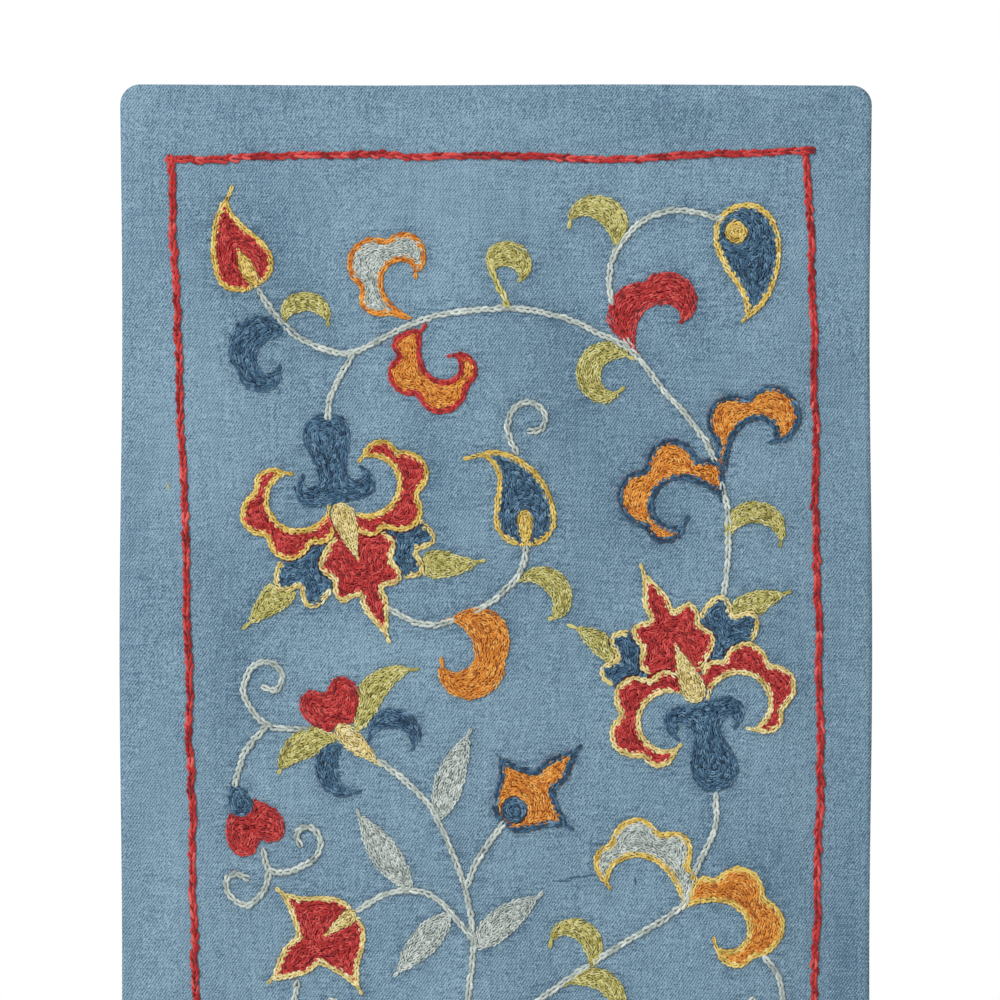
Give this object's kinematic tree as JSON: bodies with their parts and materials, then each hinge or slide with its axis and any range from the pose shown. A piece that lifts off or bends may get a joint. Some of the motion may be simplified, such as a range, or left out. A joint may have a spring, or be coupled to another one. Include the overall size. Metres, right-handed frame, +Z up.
{
  "type": "embroidered wall hanging",
  "caption": "Blue twill wall hanging with rounded corners, a red stitched border and a chain-stitched vine of palmettes, buds and curled leaves.",
  "frame": {"origin": "middle of the cloth's top edge, where it is held", "axes": "+Z up the cloth, +X to the right seen from its face, -Y out of its face"},
  "size_m": [0.4516, 0.0097, 0.7011],
  "materials": {
    "blue_twill": "faded blue cotton twill",
    "red_thread": "faded red chain-stitch thread",
    "gold_thread": "soft gold chain-stitch thread",
    "straw_thread": "pale straw chain-stitch thread",
    "orange_thread": "orange chain-stitch thread",
    "indigo_thread": "indigo chain-stitch thread",
    "olive_thread": "pale olive chain-stitch thread",
    "pale_thread": "pale grey-green chain-stitch thread"
  },
  "bodies": {
    "root": {"hanging_cloth": "blue_twill"}
  },
  "joints": []
}
